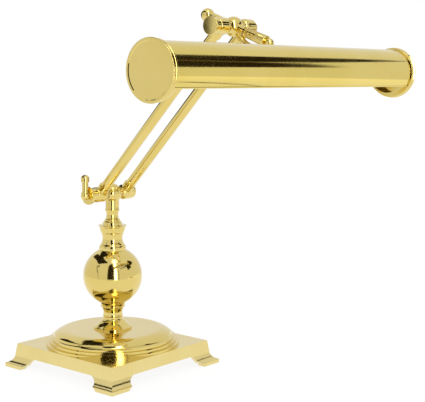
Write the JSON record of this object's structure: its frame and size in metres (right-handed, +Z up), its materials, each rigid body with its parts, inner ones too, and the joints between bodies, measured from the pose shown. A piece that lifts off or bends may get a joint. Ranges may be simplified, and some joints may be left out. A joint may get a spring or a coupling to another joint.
{
  "type": "piano lamp",
  "caption": "Brass piano lamp: a trough shade on a tilting double-rod arm with a clamp lever, a turned stem with a ball, and a square base on bracket feet.",
  "frame": {"origin": "on the stem's axis, at the level of the floor that the four feet stand on", "axes": "+X along the shade to the right, -Y the side the shade leans to, +Z up"},
  "size_m": [0.356, 0.3248, 0.3622],
  "materials": {
    "polished_brass": "polished and lacquered",
    "cast_brass": "polished and lacquered casting",
    "shade_brass": "polished outside, satin inside",
    "ballast_iron": "rough, painted",
    "plated_steel": "brass plated",
    "dark_plastic": "moulded",
    "lamp_glass": "frosted",
    "lamp_cap": "rolled thread"
  },
  "bodies": {
    "base": {"base_plate": "cast_brass", "base_disc": "polished_brass", "base_weight": "ballast_iron", "base_cover": "plated_steel", "cord_bushing": "dark_plastic", "stem_rod": "polished_brass", "stem_washer": "plated_steel", "stem_nut": "plated_steel", "stem_foot": "polished_brass", "stem_ball": "polished_brass", "ball_collar": "polished_brass", "stem_finial": "polished_brass", "pivot_tee": "polished_brass", "lower_pivot_bolt": "plated_steel", "lower_washers": "plated_steel", "clamp_collar": "polished_brass", "lower_cap_nut": "polished_brass"},
    "lever": {"clamp_disc": "polished_brass", "clamp_lever": "polished_brass", "lever_tip": "polished_brass"},
    "arm": {"lower_eye_left": "polished_brass", "lower_eye_right": "polished_brass", "arm_rod_left": "polished_brass", "arm_rod_right": "polished_brass", "upper_eye_left": "polished_brass", "upper_eye_right": "polished_brass", "upper_pivot_bolt": "plated_steel", "upper_washers": "plated_steel", "upper_collar": "polished_brass", "upper_disc": "polished_brass", "upper_cap_nut": "polished_brass"},
    "head": {"head_hub": "polished_brass", "rear_ball": "polished_brass", "switch_body": "dark_plastic", "shade_link": "polished_brass", "link_saddle": "polished_brass", "link_nut": "plated_steel", "shade_shell": "shade_brass", "shade_cap_left": "polished_brass", "shade_cap_right": "polished_brass", "socket_bracket": "plated_steel", "socket_left": "dark_plastic", "socket_right": "dark_plastic", "bulb_left": "lamp_glass", "bulb_right": "lamp_glass", "bulb_base_left": "lamp_cap", "bulb_base_right": "lamp_cap", "socket_screws": "plated_steel"},
    "switch": {"switch_grip": "polished_brass", "switch_spindle": "plated_steel", "grip_knob": "polished_brass"}
  },
  "joints": [
    {"name": "arm_pivot", "type": "hinge", "parent": "base", "child": "arm", "pos_m": [0, 0, 0.17999], "axis": [1, 0, 0], "range_deg": [-70, 50]},
    {"name": "clamp_turn", "type": "hinge", "parent": "base", "child": "lever", "pos_m": [-0.0376, 0, 0.17999], "axis": [-1, 0, 0], "range_deg": [0, 150]},
    {"name": "shade_tilt", "type": "hinge", "parent": "arm", "child": "head", "pos_m": [0, -0.15781, 0.34455], "axis": [1, 0, 0], "range_deg": [-110, 70]},
    {"name": "switch_turn", "type": "hinge", "parent": "head", "child": "switch", "pos_m": [0, -0.15781, 0.34455], "axis": [0, -0.9379, -0.3469], "continuous": true}
  ]
}
